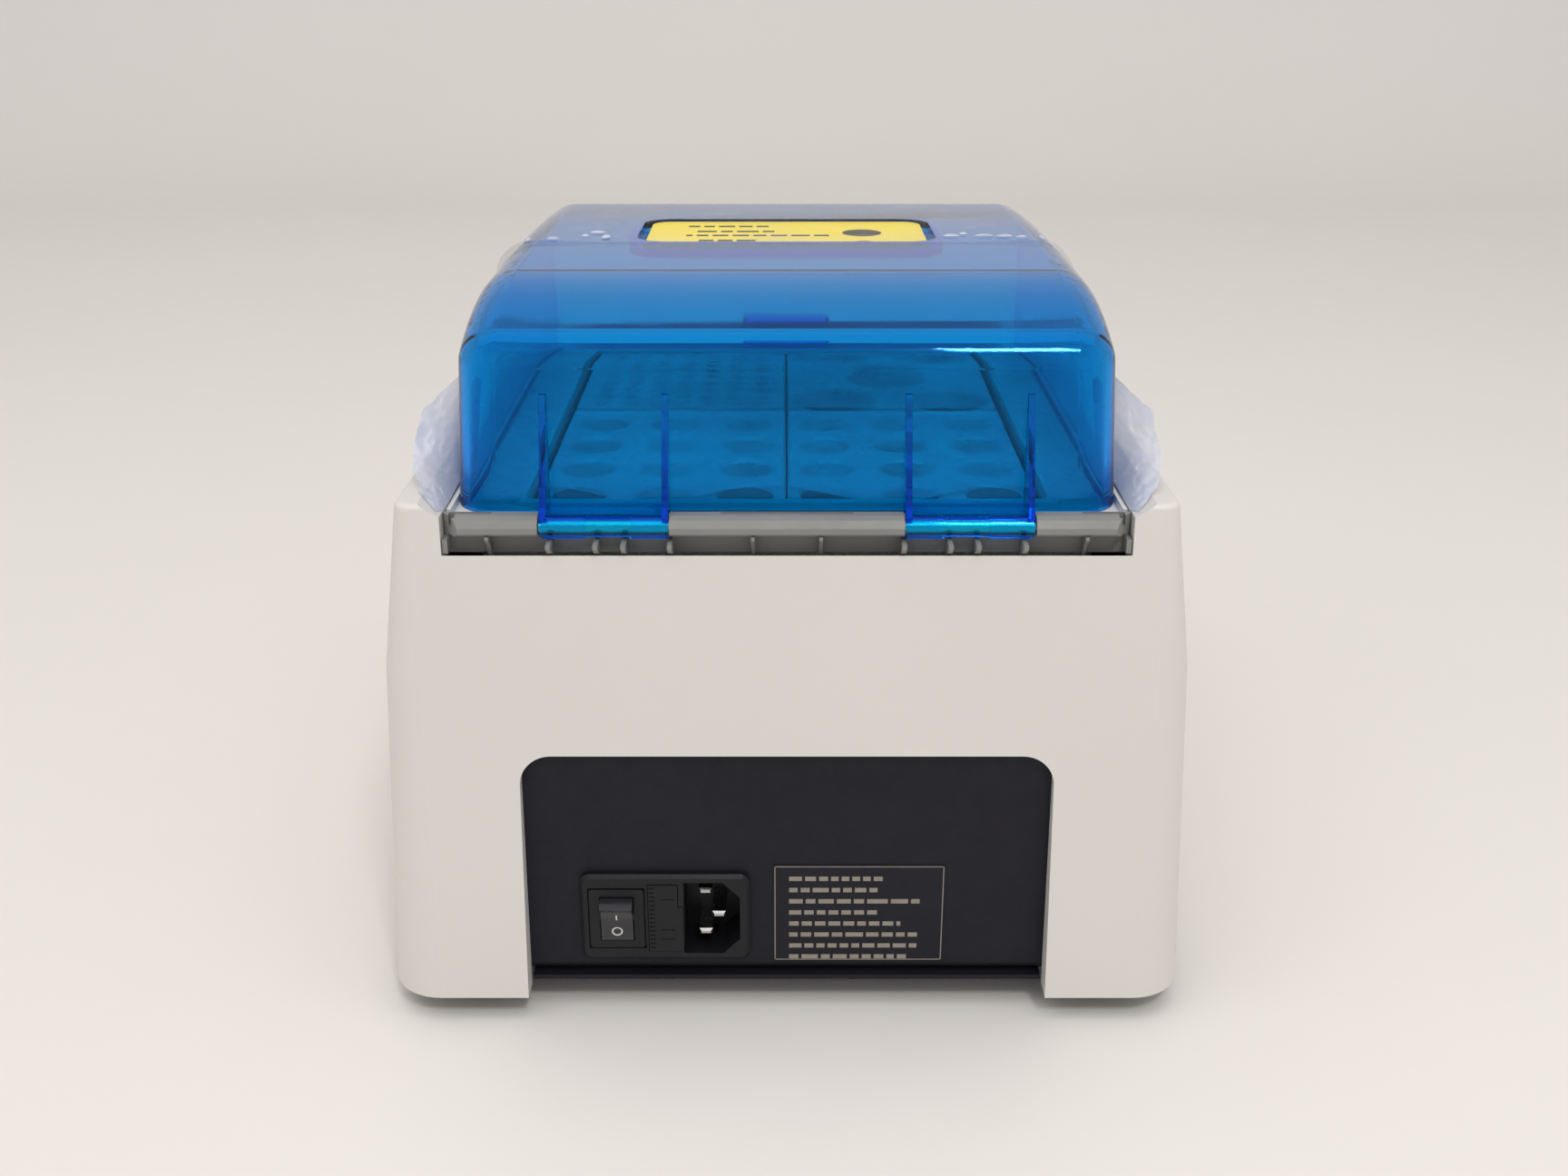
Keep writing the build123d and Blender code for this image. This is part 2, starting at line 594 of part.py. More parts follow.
def lid_shell():
    outer = lid_form(0.0, LID_BOTTOM)
    inner = lid_form(LID_WALL, LID_BOTTOM - 2.0)
    under_pocket = rounded_block(POCKET_HALF_X + LID_WALL, POCKET_FRONT - LID_WALL, POCKET_REAR + LID_WALL,
                                 POCKET_FLOOR - LID_WALL, 230, 12.5)
    lid = outer - (inner - under_pocket)
    lid -= rounded_block(POCKET_HALF_X, POCKET_FRONT, POCKET_REAR, POCKET_FLOOR, 230, 10)
    # finger lip at the front
    lip = rounded_block(17, -94, -80, 161.0, 163.2, 3)
    lid += lip - inner
    hinges = mirrored_pair(hinge_knuckles())
    lid += hinges - inner
    lid -= mirrored_pair(rod_x(KNUCKLE_BORE, FIN_INNER - 1, FIN_OUTER + 1, HINGE_Y, HINGE_Z))
    return lid


def lid_label():
    return rounded_block(44.5, POCKET_FRONT + 3, POCKET_REAR - 3, POCKET_FLOOR, POCKET_FLOOR + 0.2, 3)


def lid_bumpers():
    """Four soft pads on the deck's step, just under the lid's corners."""
    pads = [post(2.2, x, y, DECK_TOP, DECK_TOP + 0.25) for x in (-89.2, 89.2) for y in (-70, 118)]
    return joined(pads)


def lid_film():
    """Protective film that follows the front of the lid's top, just clear of it."""
    skin = lid_form(-0.45, LID_BOTTOM) - lid_form(-0.25, LID_BOTTOM)
    return skin & block(-100, 100, -120, 43, 197, 230)


def transit_film():
    """Thin packing sheet: a wing standing out on each side of the lid, and a drape behind the blocks."""
    wing = front_prism([(92.3, 156.6), (92.7, 156.6), (103.6, 181.0), (103.2, 181.0)], 84, 137)
    return mirrored_pair(wing) + block(-70, 70, 125.2, 125.6, 154.6, 160)


# ---- power inlet ----
def socket_outline(grow):
    """The inlet's opening, seen from behind, with two corners cut away on one side."""
    x0 = SOCKET_X - 8.25 - grow
    x1 = SOCKET_X + 8.25 + grow
    z0 = INLET_Z - SOCKET_HALF_Z - grow
    z1 = INLET_Z + SOCKET_HALF_Z + grow
    return [(x1, z0), (x1, z1), (x0 + 5, z1), (x0, z1 - 5), (x0, z0 + 5), (x0 + 5, z0)]


def inlet_body():
    flange = Pos(INLET_X, (PANEL_FACE_Y + FLANGE_FACE_Y) / 2, INLET_Z)
    flange = flange * Box(50, FLANGE_FACE_Y - PANEL_FACE_Y, FLANGE_HEIGHT)
    flange = fillet(flange.edges().filter_by(Axis.Y), 3)
    outer_edges = flange.faces().sort_by(Axis.Y)[-1].edges()
    flange = chamfer(outer_edges, 1.0)
    body = flange + block(INLET_X - 23, INLET_X + 23, 118, PANEL_FACE_Y, INLET_Z - 13, INLET_Z + 13)
    body -= front_prism(socket_outline(0), 134, 152)
    body -= block(DRAWER_X - 4.5, DRAWER_X + 4.5, 124, 152, INLET_Z - DRAWER_HALF_Z - 0.2, INLET_Z + DRAWER_HALF_Z + 0.2)
    # seat for the drawer's finger tab, beside the socket
    body -= block(SOCKET_X + 8.0, DRAWER_X, 147.9, 152, INLET_Z - DRAWER_HALF_Z - 0.2, INLET_Z + TAB_TOP + 0.2)
    body -= block(SWITCH_X - 7.6, SWITCH_X + 7.6, 117, 152, INLET_Z - 9.6, INLET_Z + 9.6)
    # recess round the rocker's bezel
    rim = 0.45
    body -= block(SWITCH_X - BEZEL_HALF_X - rim, SWITCH_X + BEZEL_HALF_X + rim, FLANGE_FACE_Y - 1.2, 152,
                  INLET_Z - BEZEL_HALF_Z - rim, INLET_Z + BEZEL_HALF_Z + rim)
    return body - inlet_pins()


def inlet_pin(x, z, tip_y):
    pin = block(x - 2, x + 2, 112, tip_y, z - 1, z + 1)
    end = pin.faces().sort_by(Axis.Y)[-1].edges()
    return chamfer(end, 0.6)


def inlet_pins():
    """Line, neutral and a longer earth pin, each with its solder tab behind."""
    line = inlet_pin(SOCKET_X + 2, INLET_Z + 7, 146.0)
    neutral = inlet_pin(SOCKET_X + 2, INLET_Z - 7, 146.0)
    earth = inlet_pin(SOCKET_X - 2, INLET_Z, 147.6)
    return line + neutral + earth


def fuse_drawer():
    low = INLET_Z - DRAWER_HALF_Z
    cover_front = FLANGE_FACE_Y + 0.2
    cover = block(DRAWER_X - 4.3, DRAWER_X + 4.3, 147.6, cover_front, low, INLET_Z + DRAWER_HALF_Z)
    cover += block(SOCKET_X + 8.5, DRAWER_X, 148.2, cover_front, low, INLET_Z + TAB_TOP)
    # grip grooves down one side, and two lines moulded across
    for row in range(15):
        z = low + 1.2 + 1.45 * row
        cover -= block(DRAWER_X + 2.4, DRAWER_X + 4.0, cover_front - 0.25, 152, z, z + 0.7)
    for z in (INLET_Z - 7.2, INLET_Z - 4.0, INLET_Z + 6.4):
        cover -= block(DRAWER_X - 3.4, DRAWER_X + 0.6, cover_front - 0.2, 152, z, z + 0.3)
    tray = block(DRAWER_X - 3.9, DRAWER_X + 3.9, 126, 147.6, INLET_Z - 9.5, INLET_Z + 9.5)
    for z in (INLET_Z - 4.6, INLET_Z + 4.6):
        tray -= rod_y(2.75, DRAWER_X, 125, 146.6, z)
        tray -= block(DRAWER_X, DRAWER_X + 5, 125, 146.6, z - 2.0, z + 2.0)
    return cover + tray


def fuse_glass():
    tubes = [rod_y(2.35, DRAWER_X, 130.5, 141.5, INLET_Z + dz) for dz in (-4.6, 4.6)]
    return joined(tubes)


def fuse_caps():
    caps = []
    for dz in (-4.6, 4.6):
        caps.append(rod_y(2.6, DRAWER_X, 126.2, 130.5, INLET_Z + dz))
        caps.append(rod_y(2.6, DRAWER_X, 141.5, 146.2, INLET_Z + dz))
    return joined(caps)


def rocker_frame():
    bezel = block(SWITCH_X - BEZEL_HALF_X, SWITCH_X + BEZEL_HALF_X, FLANGE_FACE_Y - 1.2, FLANGE_FACE_Y + 0.2,
                  INLET_Z - BEZEL_HALF_Z, INLET_Z + BEZEL_HALF_Z)
    bezel = fillet(bezel.edges().filter_by(Axis.Y), 0.8)
    frame = bezel + block(SWITCH_X - 7.4, SWITCH_X + 7.4, 124, FLANGE_FACE_Y - 1.0, INLET_Z - 9.4, INLET_Z + 9.4)
    gap = ROCKER_HALF_X + 0.25
    frame -= block(SWITCH_X - gap, SWITCH_X + gap, 130, 152, INLET_Z - ROCKER_REACH - 0.3, INLET_Z + ROCKER_REACH + 0.3)
    frame -= rod_x(1.27, SWITCH_X - 6.2, SWITCH_X + 6.2, SWITCH_PIVOT_Y, INLET_Z)
    tabs = [block(SWITCH_X - 2.4, SWITCH_X + 2.4, 114, 124.2, z - 0.4, z + 0.4) for z in (INLET_Z - 6, INLET_Z + 6)]
    return joined([frame] + tabs)


def rocker():
    """The rocker at its off position, tipped about its pivot."""
    top = (3.6, math.sqrt(ROCKER_REACH ** 2 - 3.6 ** 2))
    bend = (1.6, math.sqrt(ROCKER_REACH ** 2 - 1.6 ** 2))
    root = (-0.5, math.sqrt(ROCKER_REACH ** 2 - 0.5 ** 2))
    back = (-6.0, 3.8)
    outline = [
        ThreePointArc(top, bend, root),
        Line(root, back),
        Line(back, (back[0], -back[1])),
        Line((back[0], -back[1]), (root[0], -root[1])),
        ThreePointArc((root[0], -root[1]), (bend[0], -bend[1]), (top[0], -top[1])),
        ThreePointArc((top[0], -top[1]), (2.2, 0), top),
    ]
    paddle = extrude(make_face(Plane.YZ * Wire(outline)), amount=ROCKER_HALF_X, both=True)
    rims = [e for e in paddle.edges() if abs(e.center().X) > ROCKER_HALF_X - 0.5 and e.center().Y > 2]
    paddle = fillet(rims, 0.4)
    paddle += Rot(0, 90, 0) * Cylinder(1.2, 2 * ROCKER_HALF_X + 2.4)
    return Pos(SWITCH_X, SWITCH_PIVOT_Y, INLET_Z) * Rot(-ROCKER_TILT, 0, 0) * paddle


def rating_plate():
    return block(-46.5, 4.0, PANEL_FACE_Y, PANEL_FACE_Y + 0.25, 15.8, 48.9)


# ---- control panel ----
def window_opening(inset, z0, z1):
    half = WINDOW_WIDTH / 2 - inset
    return panel_block(WINDOW_X - half, WINDOW_X + half, -WINDOW_HEIGHT / 2 + inset, WINDOW_HEIGHT / 2 - inset,
                       z0, z1, 3)


def key_outline(x, y, grow, z0, z1):
    half_x = KEY_WIDTH / 2 + grow
    half_y = KEY_HEIGHT / 2 + grow
    return panel_block(x - half_x, x + half_x, y - half_y, y + half_y, z0, z1, 2.5 + grow)


def control_panel():
    panel = panel_block(-PANEL_HALF_X, PANEL_HALF_X, -PANEL_HALF_Y, PANEL_HALF_Y, -PANEL_RECESS, PANEL_PROUD, 5)
    panel -= window_opening(0.0, -5, 5)
    for x in KEY_XS:
        for y in KEY_YS:
            panel -= key_outline(x, y, 0.35, -5, 5)
    return panel


def display_window():
    return window_opening(0.1, -PANEL_RECESS, PANEL_PROUD - 0.2)


def lcd_module():
    """The display: a frame with its glass a step below the front."""
    half = WINDOW_WIDTH / 2
    frame = panel_block(WINDOW_X - half, WINDOW_X + half, -21, 21, -9.0, -3.4, 1)
    return frame - panel_block(WINDOW_X - half + 6, WINDOW_X + half - 6, -14.5, 14.5, -4.0, 0)


def display_board():
    return panel_block(-84, 84, -26, 26, -14.0, -12.4, 2)


def key_switches():
    switches = []
    for x in KEY_XS:
        for y in KEY_YS:
            body = panel_block(x - 3, x + 3, y - 3, y + 3, -12.4, -8.6)
            plunger = SLOPE.location * (Pos(x, y, -8.2) * Cylinder(1.7, 0.8))
            switches.append(body + plunger)
    return joined(switches)


def key_cap(x, y):
    cap = key_outline(x, y, 0.0, -6.6, PANEL_PROUD + 1.4)
    top = cap.faces().sort_by(Axis(origin=(0, 0, 0), direction=SLOPE.z_dir))[-1]
    cap = fillet(top.edges(), 0.7)
    return cap + key_outline(x, y, 1.2, -5.6, -4.4)


# ---- electronics ----
def main_board():
    board = rounded_block(47, -50, 86, 24, 25.6, 3, x=-52)
    for x in (-94, -10):
        for y in (-45, 81):
            board -= post(1.7, x, y, 20, 30)
    return board


def board_standoffs():
    """Pillars under the main board, and between the control panel's wall and its own board."""
    posts = [post(3.2, x, y, TRAY_TOP, 24) + post(1.5, x, y, 24, 27) for x in (-94, -10) for y in (-45, 81)]
    posts += [SLOPE.location * (Pos(x, y, -7.75) * Cylinder(2.4, 9.3)) for x in (-80, 80) for y in (-23, 23)]
    return joined(posts)


def board_capacitors():
    return joined([post(6, -84, 40, 25.6, 48), post(6, -69, 40, 25.6, 48), post(4, -84, 22, 25.6, 40)])


def relay():
    return fillet(block(-54, -34, 46, 74, 25.6, 42).edges().filter_by(Axis.Z), 1)


def terminal_block():
    body = block(-30, -14, 34, 78, 25.6, 38)
    for row in range(5):
        body -= post(1.9, -22, 40 + 8 * row, 33, 40)
    return body


def heat_sink():
    fins = block(-92, -52, -34, -31, 25.6, 52)
    for row in range(6):
        x = -90 + 7.2 * row
        fins += block(x - 0.7, x + 0.7, -31, -14, 25.6, 52)
    return fins


def triac():
    return block(-78, -68, -38.6, -34, 31, 46)


def transformer_core():
    core = block(24, 78, -30, 18, TRAY_TOP, 52)
    core -= block(33, 42, -31, 19, 20, 43)
    return core - block(60, 69, -31, 19, 20, 43)


def transformer_coil():
    coil = rounded_block(17.6, -38, 26, 20.4, 42.6, 5, x=51)
    return coil - block(41.9, 60.1, -30.2, 18.2, 15, 50)


def mains_wires():
    """Line, neutral and earth leads from the inlet to the terminal block."""
    leads = []
    for order, (x, z) in enumerate(((24, 38), (20, 31), (24, 24))):
        y = 72 - 8 * order
        high = 52 - 3 * order
        route = [(x, 112, z), (x, 101, z), (x - 10, 90 - 5 * order, z + 6), (4, y + 8, high - 2), (-22, y, high),
                 (-22, y, 38.1)]
        leads.append(wire(route, 1.1, [4, 6, 6, 4]))
    return joined(leads)


def heater_wires():
    """Two leads from the heating mat down to the terminal block."""
    leads = []
    for row in (0, 1):
        x = 43.5 + 5 * row
        exit_y = 62 + 4 * row
        y = 40 + 8 * row
        route = [(x, exit_y, PLATE_BOTTOM - MAT_THICK), (x, exit_y, 67 + 5 * row),
                 (x - 30, 56 + 5 * row, 60 + 6 * row), (-22, y, 58 + 5 * row), (-22, y, 38.1)]
        leads.append(wire(route, 1.0, [5, 8, 6]))
    return joined(leads)


def sensor_lead():
    """The probe's lead, down behind the insulation to the board."""
    z = PLATE_BOTTOM + 5
    x = PROBE_X
    route = [(x, 128, z), (x, 139.5, z), (x - 4, 139.5, 66), (-20, 124, 58), (-60, 78, 50), (-60, 78, 25.7)]
    return wire(route, 1.0, [3.5, 8, 10, 6])


def ribbon_cable():
    """Flat cable from the display board to the main board."""
    points = [(-118.5, 109.6), (-107, 100.4), (-98, 78), (-72, 62), (-46, 52), (-46, 25.7)]
    line = FilletPolyline(*points, radius=[8, 12, 10, 9])
    path = Plane.YZ.offset(-52) * line
    section = Plane(origin=path @ 0, x_dir=(1, 0, 0), z_dir=path % 0) * Rectangle(22, 1.0)
    return sweep(section, path=path)


def keys():
    caps = {}
    for names, y in zip(KEY_NAMES, KEY_YS):
        for name, x in zip(names, KEY_XS):
            caps[name] = key_cap(x, y)
    return caps


NODES = {
    "upper_shell": upper_shell,
    "base_tray": base_tray,
    "rear_panel": rear_panel,
    "rubber_feet": rubber_feet,
    "foot_screws": foot_screws,
    "foot_nuts": foot_nuts,
    "housing_screws": housing_screws,
    "deck_frame": deck_frame,
    "hinge_rail": hinge_rail,
    "hinge_pin_left": lambda: hinge_pin(-1),
    "hinge_pin_right": lambda: hinge_pin(1),
    "well_liner": well_liner,
    "hot_plate": hot_plate,
    "heater_mat": heater_mat,
    "insulation_tray": insulation_tray,
    "bracket_plate": bracket_plate,
    "support_pillars": support_pillars,
    "thermal_cutout": thermal_cutout,
    "temperature_probe": temperature_probe,
    "block_rear_left": lambda: tube_block(-BLOCK_X),
    "block_rear_right": lambda: tube_block(BLOCK_X),
    "block_front_left": wide_block,
    "block_front_right": small_well_block,
    "lid_shell": lid_shell,
    "lid_label": lid_label,
    "lid_bumpers": lid_bumpers,
    "lid_film": lid_film,
    "transit_film": transit_film,
    "inlet_body": inlet_body,
    "inlet_pins": inlet_pins,
    "fuse_drawer": fuse_drawer,
    "fuse_glass": fuse_glass,
    "fuse_caps": fuse_caps,
    "rocker_frame": rocker_frame,
    "rocker": rocker,
    "rating_plate": rating_plate,
    "control_panel": control_panel,
    "display_window": display_window,
    "lcd_module": lcd_module,
    "display_board": display_board,
    "key_switches": key_switches,
    "main_board": main_board,
    "board_standoffs": board_standoffs,
    "board_capacitors": board_capacitors,
    "relay": relay,
    "terminal_block": terminal_block,
    "heat_sink": heat_sink,
    "triac": triac,
    "transformer_core": transformer_core,
    "transformer_coil": transformer_coil,
    "mains_wires": mains_wires,
    "heater_wires": heater_wires,
    "sensor_lead": sensor_lead,
    "ribbon_cable": ribbon_cable,
}

os.makedirs("parts", exist_ok=True)
for name, make in NODES.items():
    export_step(make(), f"parts/{name}.step")
for name, cap in keys().items():
    export_step(cap, f"parts/{name}.step")
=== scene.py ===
"""Looks of a dry block heater with its blue lid closed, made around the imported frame."""

import math

import bmesh
import bpy
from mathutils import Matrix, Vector, noise
from mathutils.bvhtree import BVHTree


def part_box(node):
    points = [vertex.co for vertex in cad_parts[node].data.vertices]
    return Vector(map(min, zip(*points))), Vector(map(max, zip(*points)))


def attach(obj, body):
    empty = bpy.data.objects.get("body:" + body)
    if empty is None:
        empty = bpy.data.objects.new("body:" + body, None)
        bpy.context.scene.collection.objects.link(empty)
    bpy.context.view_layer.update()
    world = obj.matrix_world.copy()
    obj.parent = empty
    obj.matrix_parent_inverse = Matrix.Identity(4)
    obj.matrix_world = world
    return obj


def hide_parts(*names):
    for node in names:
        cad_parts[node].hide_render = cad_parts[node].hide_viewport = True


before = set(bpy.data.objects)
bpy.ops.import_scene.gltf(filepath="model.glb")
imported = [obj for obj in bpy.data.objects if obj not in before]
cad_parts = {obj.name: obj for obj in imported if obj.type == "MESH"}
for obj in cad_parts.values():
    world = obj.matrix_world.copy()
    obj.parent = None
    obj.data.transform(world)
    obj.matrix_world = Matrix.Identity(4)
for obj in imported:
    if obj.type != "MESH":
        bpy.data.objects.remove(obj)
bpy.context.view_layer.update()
MM = 0.001

# Where the camera stands, behind the object and looking down at its rear face
CAMERA_PLACE = (0.0008, 0.5593, 0.3027)
CAMERA_TILT = 22.0
CAMERA_LENS = 37.5


# ---------------------------------------------------------------- materials
class Recipe:
    """A node material being put together around one Principled shader."""

    def __init__(self, name):
        self.material = bpy.data.materials.new(name)
        self.material.use_nodes = True
        self.tree = self.material.node_tree
        self.shader = self.tree.nodes["Principled BSDF"]
        self.output = self.tree.nodes["Material Output"]
        self.place = self.node("ShaderNodeTexCoord").outputs["Object"]

    def node(self, kind, **settings):
        made = self.tree.nodes.new(kind)
        for key, value in settings.items():
            setattr(made, key, value)
        return made

    def link(self, source, target):
        self.tree.links.new(source, target)

    def set(self, **values):
        for key, value in values.items():
            self.shader.inputs[key.replace("_", " ")].default_value = value

    def scaled(self, size, stretch=(1, 1, 1)):
        """The object's own coordinates in steps of size metres, squeezed by stretch."""
        mapping = self.node("ShaderNodeMapping")
        mapping.inputs["Scale"].default_value = [s / size for s in stretch]
        self.link(self.place, mapping.inputs["Vector"])
        return mapping.outputs["Vector"]

    def noise(self, size, detail=3.0, rough=0.55, stretch=(1, 1, 1)):
        made = self.node("ShaderNodeTexNoise")
        made.inputs["Scale"].default_value = 1.0
        made.inputs["Detail"].default_value = detail
        made.inputs["Roughness"].default_value = rough
        self.link(self.scaled(size, stretch), made.inputs["Vector"])
        return made.outputs["Fac"]

    def spread(self, source, low, high, start=0.3, end=0.7):
        """Stretches a noise between start and end over the numbers from low to high."""
        made = self.node("ShaderNodeMapRange")
        made.inputs["From Min"].default_value = start
        made.inputs["From Max"].default_value = end
        made.inputs["To Min"].default_value = low
        made.inputs["To Max"].default_value = high
        self.link(source, made.inputs["Value"])
        return made.outputs["Result"]

    def colours(self, source, first, second, start=0.3, end=0.7):
        made = self.node("ShaderNodeValToRGB")
        low, high = made.color_ramp.elements
        low.position, high.position = start, end
        low.color, high.color = (*first, 1), (*second, 1)
        self.link(source, made.inputs["Fac"])
        return made.outputs["Color"]

    def mixed(self, share, first, second):
        """first where share is 0, second where it is 1: both are colour sockets."""
        made = self.node("ShaderNodeMix", data_type="RGBA")
        self.link(share, made.inputs[0])
        self.link(first, made.inputs[6])
        self.link(second, made.inputs[7])
        return made.outputs[2]

    def bump(self, height, distance, strength=1.0, over=None):
        made = self.node("ShaderNodeBump")
        made.inputs["Strength"].default_value = strength
        made.inputs["Distance"].default_value = distance
        self.link(height, made.inputs["Height"])
        if over is not None:
            self.link(over, made.inputs["Normal"])
        return made.outputs["Normal"]


def shade(colour, by):
    return tuple(min(1.0, c * by) for c in colour)


def surface(name, colour, roughness, vary=0.05, blotch=0.03, grain=0.0006, relief=0.00002,
            stretch=(1, 1, 1), metallic=0.0, coat=0.0, specks=0.0, speck_colour=None, wave=0.0,
            shine=0.5):
    """An opaque material. vary is how far its colour drifts, grain the size of its surface texture and
    relief that texture's depth in metres, specks the share of small marks, wave a slow unevenness and
    shine how much a plain surface mirrors."""
    r = Recipe(name)
    tone = r.colours(r.noise(blotch, 4.0), shade(colour, 1 - vary), shade(colour, 1 + vary))
    if specks:
        marks = r.colours(r.noise(grain * 5, 2.0, 0.8), (0, 0, 0), (1, 1, 1),
                          0.80 - specks, 0.82 - specks)
        other = r.colours(r.noise(blotch, 1.0), speck_colour, shade(speck_colour, 1.15))
        tone = r.mixed(marks, tone, other)
    r.link(tone, r.shader.inputs["Base Color"])
    smears = r.noise(max(grain * 12, 0.004), 5.0, 0.65, stretch)
    r.link(r.spread(smears, *roughness), r.shader.inputs["Roughness"])
    normal = None
    if wave:
        normal = r.bump(r.noise(0.035, 1.0), wave)
    normal = r.bump(r.noise(grain, 2.0, 0.6, stretch), relief, over=normal)
    r.link(normal, r.shader.inputs["Normal"])
    r.set(Metallic=metallic, Coat_Weight=coat, Coat_Roughness=0.12, Specular_IOR_Level=shine)
    return r.material


def tinted_clear(name, tint, through, wall, roughness, ior=1.58, wave=0.00004, glint=(1, 1, 1)):
    """A clear moulding. tint is what each face takes off, through what a wall that thick lets past,
    and glint the colour of what its faces mirror."""
    r = Recipe(name)
    tone = r.colours(r.noise(0.06, 2.0), shade(tint, 0.97), tint)
    r.link(tone, r.shader.inputs["Base Color"])
    r.link(r.spread(r.noise(0.02, 3.0), *roughness), r.shader.inputs["Roughness"])
    r.link(r.bump(r.noise(0.03, 1.0), wave), r.shader.inputs["Normal"])
    r.set(Transmission_Weight=1.0, IOR=ior, Specular_Tint=(*glint, 1))
    density = max(-math.log(t) for t in through) / wall * 1.02
    inside = r.node("ShaderNodeVolumeAbsorption")
    inside.inputs["Density"].default_value = density
    inside.inputs["Color"].default_value = [1 + math.log(t) / wall / density for t in through] + [1]
    r.link(inside.outputs["Volume"], r.output.inputs["Volume"])
    return r.material


def film(name, colour, thin, thick, crease=0.00035, roughness=(0.22, 0.45)):
    """Thin plastic film: see-through where it is flat, milkier along its creases."""
    r = Recipe(name)
    creases = r.noise(0.022, 3.0, 0.5, (1, 0.45, 1))
    r.link(r.colours(r.noise(0.03, 2.0), shade(colour, 0.94), colour), r.shader.inputs["Base Color"])
    r.link(r.spread(creases, thin, thick, 0.35, 0.65), r.shader.inputs["Alpha"])
    r.link(r.spread(r.noise(0.015, 3.0), *roughness), r.shader.inputs["Roughness"])
    r.link(r.bump(creases, crease), r.shader.inputs["Normal"])
    r.set(IOR=1.5, Coat_Weight=0.4, Coat_Roughness=0.08)
    return r.material


WHITE = (0.64, 0.62, 0.59)
GREY = (0.205, 0.205, 0.200)
NAVY = (0.0090, 0.0087, 0.0150)
BLACK = (0.0075, 0.0075, 0.0100)
STEEL = (0.56, 0.57, 0.58)
ALUMINIUM = (0.72, 0.73, 0.74)

white_abs = surface("white_abs", WHITE, (0.30, 0.42), 0.012, 0.08, 0.0007, 0.000012, wave=0.00006,
                    specks=0.02, speck_colour=(0.63, 0.61, 0.57))
grey_abs = surface("grey_abs", GREY, (0.40, 0.58), 0.07, 0.03, 0.0005, 0.00003)
deck_abs = surface("deck_abs", (0.66, 0.66, 0.65), (0.40, 0.58), 0.04, 0.03, 0.0005, 0.00003)
navy_coat = surface("navy_powder_coat", NAVY, (0.42, 0.60), 0.10, 0.02, 0.00055, 0.00006,
                    specks=0.04, speck_colour=(0.018, 0.0175, 0.026), shine=0.22)
black_rubber = surface("black_rubber", (0.028, 0.028, 0.028), (0.62, 0.8), 0.12, 0.01, 0.0006, 0.00005)
zinc_steel = surface("zinc_steel", STEEL, (0.25, 0.42), 0.06, 0.01, 0.0004, 0.00001, metallic=1.0)
stainless = surface("stainless", (0.60, 0.60, 0.59), (0.22, 0.40), 0.04, 0.03, 0.0003, 0.00001,
                    (1, 12, 12), metallic=1.0)
milled = surface("milled_aluminium", ALUMINIUM, (0.28, 0.42), 0.04, 0.03, 0.0004, 0.00001,
                 (1, 14, 14), metallic=1.0)
anodised = surface("block_aluminium", (0.66, 0.67, 0.68), (0.45, 0.60), 0.05, 0.02, 0.0004, 0.00003,
                   metallic=0.4)
silicone = surface("silicone_mat", (0.42, 0.085, 0.035), (0.45, 0.6), 0.08, 0.02, 0.0009, 0.00008)
foam = surface("insulation_foam", (0.62, 0.58, 0.49), (0.85, 0.97), 0.10, 0.01, 0.0012, 0.0005)
component = surface("component_black", (0.022, 0.022, 0.022), (0.30, 0.45), 0.10, 0.006, 0.0004,
                    0.00002)
black_nylon = surface("black_nylon", BLACK, (0.33, 0.48), 0.15, 0.012, 0.0005, 0.00003,
                      specks=0.03, speck_colour=(0.018, 0.018, 0.022), shine=0.28)
rocker_black = surface("rocker_black", (0.014, 0.014, 0.018), (0.20, 0.30), 0.10, 0.01, 0.0008, 0.00001,
                       coat=0.2)
tin = surface("tin_plate", (0.50, 0.49, 0.47), (0.18, 0.32), 0.05, 0.004, 0.0005, 0.00001,
              metallic=1.0)
panel_print = surface("panel_print", (0.075, 0.088, 0.115), (0.30, 0.42), 0.05, 0.03, 0.0006, 0.00002)
lcd_back = surface("lcd_grey", (0.20, 0.25, 0.19), (0.16, 0.26), 0.06, 0.02, 0.0008, 0.00001)
board_green = surface("pcb_green", (0.010, 0.115, 0.045), (0.28, 0.42), 0.18, 0.006, 0.0008, 0.00004)
relay_blue = surface("relay_blue", (0.025, 0.075, 0.30), (0.30, 0.42), 0.05, 0.01, 0.0005, 0.00002)
terminal_green = surface("terminal_green", (0.035, 0.26, 0.10), (0.35, 0.5), 0.06, 0.01, 0.0005,
                         0.00003)
sink_black = surface("sink_black", (0.020, 0.020, 0.022), (0.35, 0.5), 0.1, 0.01, 0.0004, 0.00002,
                     (1, 1, 8), metallic=0.6)
laminations = surface("core_steel", (0.085, 0.085, 0.095), (0.35, 0.55), 0.15, 0.01, 0.0005, 0.00006,
                      (0.2, 0.2, 3), metallic=0.7)
coil_tape = surface("coil_tape", (0.55, 0.36, 0.045), (0.4, 0.55), 0.08, 0.006, 0.0010, 0.00006,
                    (1, 0.3, 3))
wire_pvc = surface("wire_pvc", (0.16, 0.055, 0.022), (0.35, 0.48), 0.08, 0.01, 0.0006, 0.00002)
ribbon = surface("ribbon_grey", (0.30, 0.31, 0.33), (0.4, 0.55), 0.05, 0.01, 0.0013, 0.00015,
                 (1, 0.05, 0.05))
key_grey = surface("key_grey", (0.50, 0.51, 0.52), (0.42, 0.55), 0.03, 0.01, 0.0005, 0.00003)
key_green = surface("key_green", (0.045, 0.25, 0.085), (0.42, 0.55), 0.04, 0.01, 0.0005, 0.00003)
key_red = surface("key_red", (0.42, 0.035, 0.025), (0.42, 0.55), 0.04, 0.01, 0.0005, 0.00003)
